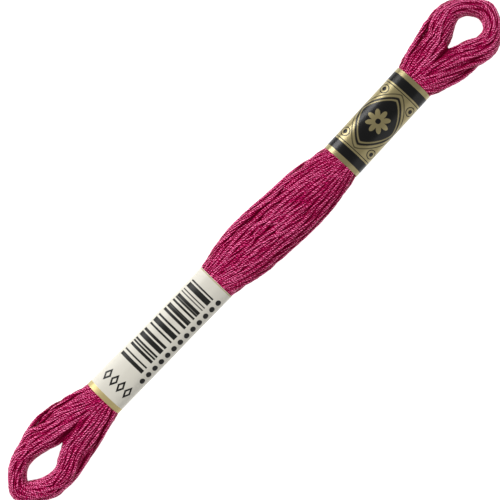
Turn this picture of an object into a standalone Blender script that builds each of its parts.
"""A skein of six-strand embroidery floss, held by two paper bands.

Metres, +Z up. The skein lies on its side: +X runs along it towards the narrow band, and the
origin is the middle of its outline, on the surface that it rests on. The hank is one ring of
floss drawn together lengthwise, so its middle is one bundle and each end opens into an eye.
"""
import math
from collections import namedtuple

import bmesh
import bpy
import numpy as np

MM = 0.001

# ---- Driving dimensions, in millimetres -------------------------------------------------------
BAND_WALL = 1.0            # the paper with its glued overlap
BAND_HEIGHT = 6.0          # outside, from the surface up
BAND_ROUNDNESS = 2.6       # exponent of the band's flattened oval
BAND_SINK = 0.2            # how much of the oval is flattened on the surface
BAND_POINTS = 44           # points round a band
FIT_GAP = 0.3              # between the hank and the inside of a band

BUNDLE_ROUNDNESS = 2.15    # exponent of the oval of the loose bundle
BUNDLE_SINK = 0.45         # how much of the loose bundle is flattened where it rests
RIDGES_AROUND = 20         # thread groups round the whole bundle
WALL_RIDGES = 3            # thread groups on a leg's side that faces the eye
POINTS_PER_RIDGE = 3       # a groove and the two shoulders of a crest
GROOVE_DEPTH = 0.5         # a groove between two thread groups
DEEP_GROOVE = 0.55         # what a groove gains where the groups part
GROOVE_WANDER = 0.3        # sideways drift of a groove, as a share of a ridge
NECK_RELIEF = 0.5          # share of the relief that is left under a band
STATION_STEP = 2.6         # along the open bundle
NECK_STEP = 6.6            # under a band
LOOP_STEP = 1.55           # round a loop

# How the grooves vary: each wave's length along the hank, and its lag from ridge to ridge.
Wave = namedtuple("Wave", "length lag")
PARTING_WAVES = (Wave(8.0, 2.4), Wave(17.0, 1.3))
DRIFT_WAVES = (Wave(11.0, 1.9), Wave(7.3, 0.8))

# A band: its two ends along X, the middle of its width at each end, and its width.
Band = namedtuple("Band", "name start end start_y end_y width")
BAND_LOWER = Band("band_lower", -50.9, -11.2, 2.26, 1.11, 10.4)
BAND_UPPER = Band("band_upper", 30.7, 57.1, -1.51, -1.51, 10.6)

# A section across the bundle: its left and right edges, its underside and its top.
Section = namedtuple("Section", "x left right floor top")
LOWER_FAN = [
    Section(-64.8, 11.10, -5.80, 0.0, 6.7),
    Section(-60.9, 10.70, -5.15, 0.0, 7.0),
    Section(-56.0, 9.40, -4.25, 0.0, 6.9),
    Section(-51.9, 7.70, -3.30, 0.0, 6.1),
]
BELLY = [
    Section(-10.3, 6.35, -4.05, 0.0, 6.1),
    Section(-4.9, 7.40, -5.70, 0.0, 7.2),
    Section(0.0, 7.80, -6.60, 0.0, 7.8),
    Section(9.7, 7.20, -7.55, 0.0, 8.1),
    Section(19.5, 6.20, -8.05, 0.0, 7.8),
    Section(24.4, 5.35, -7.80, 0.0, 7.2),
    Section(29.7, 4.05, -6.95, 0.0, 6.1),
]
UPPER_FAN = [
    Section(58.0, 4.00, -7.45, 0.0, 6.1),
    Section(60.9, 5.20, -8.65, 0.0, 6.6),
    Section(65.7, 6.00, -10.10, 0.0, 6.9),
    Section(68.4, 6.45, -10.80, 0.0, 6.7),
]
LOWER_PARTING = 2.5        # Y where the two legs part at each eye
UPPER_PARTING = -2.1

# A leg of a loop: the middle of its floss, its heading in degrees, and its width and height.
# Each table runs from the left leg round the far end of the eye to the right leg.
Leg = namedtuple("Leg", "x y heading width height")
LOWER_LOOP = [
    Leg(-68.3, 7.15, 180, 8.0, 6.6),
    Leg(-71.8, 7.40, 183, 5.5, 6.4),
    Leg(-75.4, 7.00, 194, 4.5, 6.2),
    Leg(-78.7, 5.20, 230, 4.5, 6.2),
    Leg(-81.0, 1.90, 275, 5.6, 6.0),
    Leg(-78.7, -0.90, 322, 5.4, 6.1),
    Leg(-75.2, -3.05, 350, 5.5, 6.3),
    Leg(-71.8, -3.45, 358, 5.5, 6.4),
    Leg(-68.3, -2.60, 360, 7.1, 6.6),
]
UPPER_LOOP = [
    Leg(70.4, 2.45, 0, 8.0, 6.6),
    Leg(73.1, 3.60, 0, 6.4, 6.6),
    Leg(75.8, 3.70, -10, 5.3, 6.5),
    Leg(78.9, 1.45, -52, 4.1, 6.6),
    Leg(81.8, -3.10, -94, 4.6, 6.2),
    Leg(80.1, -6.65, -132, 4.2, 6.6),
    Leg(76.2, -8.45, -172, 5.9, 6.6),
    Leg(73.1, -7.85, -180, 7.0, 6.6),
    Leg(70.4, -6.80, -180, 8.0, 6.6),
]

RING_POINTS = RIDGES_AROUND * POINTS_PER_RIDGE
HALF_RING = RING_POINTS // 2
LEG_POINTS = HALF_RING + WALL_RIDGES * POINTS_PER_RIDGE


def smooth_rows(rows, step):
    """A table's rows with smooth rows filled in, so that none is further on than a step."""
    table = np.array(rows, dtype=float)
    padded = np.vstack([2 * table[0] - table[1], table, 2 * table[-1] - table[-2]])
    place_columns = 2 if isinstance(rows[0], Leg) else 1
    filled = []
    for i in range(len(table) - 1):
        before, start, end, after = padded[i:i + 4]
        count = math.ceil(math.dist(start[:place_columns], end[:place_columns]) / step)
        for t in np.arange(count) / count:
            row = (2 * start + (end - before) * t
                   + (2 * before - 5 * start + 4 * end - after) * t ** 2
                   + (3 * start - before - 3 * end + after) * t ** 3) / 2
            filled.append(type(rows[0])(*row))
    return filled + [rows[-1]]


def neck_sections(band):
    """The hank's sections under a band, and just past its two mouths."""
    inset = BAND_WALL + FIT_GAP
    half = band.width / 2 - inset
    slope = (band.end_y - band.start_y) / (band.end - band.start)
    count = math.ceil((band.end - band.start) / NECK_STEP)
    sections = []
    for x in np.linspace(band.start - FIT_GAP, band.end + FIT_GAP, count + 1):
        middle = band.start_y + slope * (x - band.start)
        sections.append(Section(x, middle + half, middle - half, inset, BAND_HEIGHT - inset))
    return sections


def oval_point(angle, half_width, half_height, roundness):
    """A point of a flattened oval, and the direction out of the oval there."""
    c, s = math.cos(angle), math.sin(angle)
    point = np.array([half_width * math.copysign(abs(c) ** (2 / roundness), c),
                      half_height * math.copysign(abs(s) ** (2 / roundness), s)])
    outward = np.array([c / half_width, s / half_height])
    return point, outward / np.linalg.norm(outward)


def ripple(waves, ridge, place):
    """Waves that run along the hank and differ from ridge to ridge, between -1 and 1."""
    return math.prod(math.sin(place / wave.length + wave.lag * ridge) for wave in waves)


def groove_depth(ridge, place):
    """A groove is shallow all along the hank, and deep where its two thread groups part."""
    return GROOVE_DEPTH + DEEP_GROOVE * max(0.0, ripple(PARTING_WAVES, ridge, place))


def groove_drift(ridge, place):
    """The sideways wander of a groove along the hank, as a share of a ridge."""
    return GROOVE_WANDER * ripple(DRIFT_WAVES, ridge, place)


def ridged_outline(angles, place, half_width, half_height, roundness, relief):
    """The points round a section, drawn in at each groove between two thread groups."""
    ridges = len(angles) // POINTS_PER_RIDGE
    points = []
    for index, angle in enumerate(angles):
        ridge, within = divmod(index, POINTS_PER_RIDGE)
        share = within / POINTS_PER_RIDGE
        drift = (1 - share) * groove_drift(ridge, place)
        drift += share * groove_drift((ridge + 1) % ridges, place)
        ridge_angle = POINTS_PER_RIDGE * (angles[1] - angles[0])
        point, outward = oval_point(angle + drift * ridge_angle * relief,
                                    half_width, half_height, roundness)
        if within == 0:
            point = point - outward * groove_depth(ridge, place) * relief
        points.append(point)
    return points


def bundle_points(section):
    """The points round the bundle, from the top of the parting over the left and back."""
    under_band = section.floor > 0
    sink = BAND_SINK if under_band else BUNDLE_SINK
    middle = (section.left + section.right) / 2
    half_width = (section.left - section.right) / 2
    half_height = (section.top - section.floor + sink) / 2
    share = (section.x - LOWER_FAN[0].x) / (UPPER_FAN[-1].x - LOWER_FAN[0].x)
    parting_y = LOWER_PARTING + (UPPER_PARTING - LOWER_PARTING) * share
    top_angle = math.acos((parting_y - middle) / half_width)
    left_side = np.linspace(top_angle, -top_angle, HALF_RING + 1)[:-1]
    right_side = np.linspace(-top_angle, top_angle - 2 * math.pi, HALF_RING + 1)[:-1]
    outline = ridged_outline(np.append(left_side, right_side), section.x, half_width, half_height,
                             BAND_ROUNDNESS if under_band else BUNDLE_ROUNDNESS,
                             NECK_RELIEF if under_band else 1.0)
    centre = section.top - half_height
    return [(section.x, middle + y, max(centre + z, section.floor)) for y, z in outline]


def leg_points(leg, turn, place):
    """The points round one leg of a loop, from the top of its eye side over the outside."""
    angles = np.arange(LEG_POINTS) * (-2 * math.pi / LEG_POINTS)
    angles += HALF_RING * math.pi / LEG_POINTS
    half_height = (leg.height + BUNDLE_SINK) / 2
    outline = ridged_outline(angles, place, leg.width / 2, half_height, BUNDLE_ROUNDNESS, 1.0)
    heading = math.radians(leg.heading)
    outward = (turn * math.sin(heading), -turn * math.cos(heading))
    centre = leg.height - half_height
    return [(leg.x + outward[0] * across, leg.y + outward[1] * across, max(centre + z, 0.0))
            for across, z in outline]


class Surface:
    """Vertices and faces of one closed surface, made ring by ring."""

    def __init__(self):
        self.mesh = bmesh.new()

    def ring(self, points):
        return [self.mesh.verts.new([c * MM for c in point]) for point in points]

    def join(self, ring_a, ring_b):
        for k in range(len(ring_a)):
            n = (k + 1) % len(ring_a)
            self.mesh.faces.new((ring_a[k], ring_a[n], ring_b[n], ring_b[k]))

    def join_all(self, rings):
        for ring_a, ring_b in zip(rings, rings[1:]):
            self.join(ring_a, ring_b)

    def to_object(self, name, material):
        bmesh.ops.triangulate(self.mesh, faces=self.mesh.faces[:])
        bmesh.ops.recalc_face_normals(self.mesh, faces=self.mesh.faces[:])
        data = bpy.data.meshes.new(name)
        self.mesh.to_mesh(data)
        self.mesh.free()
        data.materials.append(material)
        piece = bpy.data.objects.new(name, data)
        bpy.context.scene.collection.objects.link(piece)
        return piece


def add_loop(surface, bundle_ring, rows, turn):
    """One end loop of the hank, from the left half of the bundle's end ring to its right half."""
    top, bottom = bundle_ring[0], bundle_ring[HALF_RING]
    wall_count = LEG_POINTS - HALF_RING - 1
    shares = np.arange(1, wall_count + 1) / (wall_count + 1)
    wall = surface.ring([tuple(bottom.co.lerp(top.co, s) / MM) for s in shares])
    left_end = bundle_ring[:HALF_RING + 1] + wall
    right_end = [bundle_ring[-k % RING_POINTS] for k in range(HALF_RING + 1)] + wall

    legs = smooth_rows(rows, LOOP_STEP)
    place = bundle_ring[0].co.x / MM
    outlines = [leg_points(leg, turn, place + LOOP_STEP * i) for i, leg in enumerate(legs)]

    def half_way(end_ring, outline):
        return [[(a / MM + b) / 2 for a, b in zip(vert.co, point)]
                for vert, point in zip(end_ring, outline)]

    outlines.insert(0, half_way(left_end, outlines[0]))
    outlines.append(half_way(right_end, outlines[-1]))
    surface.join_all([left_end] + [surface.ring(points) for points in outlines] + [right_end])


def make_hank(material):
    """The whole ring of floss: the bundle, and a loop round an eye at each end."""
    sections = (smooth_rows(LOWER_FAN, STATION_STEP) + neck_sections(BAND_LOWER)
                + smooth_rows(BELLY, STATION_STEP) + neck_sections(BAND_UPPER)
                + smooth_rows(UPPER_FAN, STATION_STEP))
    surface = Surface()
    rings = [surface.ring(bundle_points(section)) for section in sections]
    surface.join_all(rings)
    add_loop(surface, rings[0], LOWER_LOOP, turn=1)
    add_loop(surface, rings[-1], UPPER_LOOP, turn=-1)
    return surface.to_object("skein", material)


def make_band(band, material):
    """A paper band: a flattened sleeve round the hank, open at both ends."""
    length = math.dist((band.start, band.start_y), (band.end, band.end_y))
    angles = np.arange(BAND_POINTS) * (2 * math.pi / BAND_POINTS)

    def sleeve_ring(x, inset):
        half_height = (BAND_HEIGHT - 2 * inset + BAND_SINK) / 2
        centre = BAND_HEIGHT - inset - half_height
        points = [oval_point(angle, band.width / 2 - inset, half_height, BAND_ROUNDNESS)[0]
                  for angle in angles]
        return surface.ring([(x, y, max(centre + z, inset)) for y, z in points])

    surface = Surface()
    corners = [(-length / 2, 0.0), (length / 2, 0.0),
               (length / 2, BAND_WALL), (-length / 2, BAND_WALL)]
    rings = [sleeve_ring(x, inset) for x, inset in corners]
    surface.join_all(rings + rings[:1])
    piece = surface.to_object(band.name, material)
    piece.location = ((band.start + band.end) / 2 * MM, (band.start_y + band.end_y) / 2 * MM, 0)
    piece.rotation_euler.z = math.atan2(band.end_y - band.start_y, band.end - band.start)
    return piece


def plain_material(name, colour, roughness, metallic):
    material = bpy.data.materials.new(name)
    material.use_nodes = True
    shader = material.node_tree.nodes["Principled BSDF"]
    shader.inputs["Base Color"].default_value = (*colour, 1.0)
    shader.inputs["Roughness"].default_value = roughness
    shader.inputs["Metallic"].default_value = metallic
    return material


for leftover in list(bpy.data.objects):
    bpy.data.objects.remove(leftover)

make_hank(plain_material("magenta_cotton", (0.36, 0.005, 0.08), 0.55, 0.0))
make_band(BAND_UPPER, plain_material("gold_and_black_paper", (0.45, 0.38, 0.15), 0.4, 0.3))
make_band(BAND_LOWER, plain_material("white_paper", (0.78, 0.76, 0.68), 0.6, 0.0))
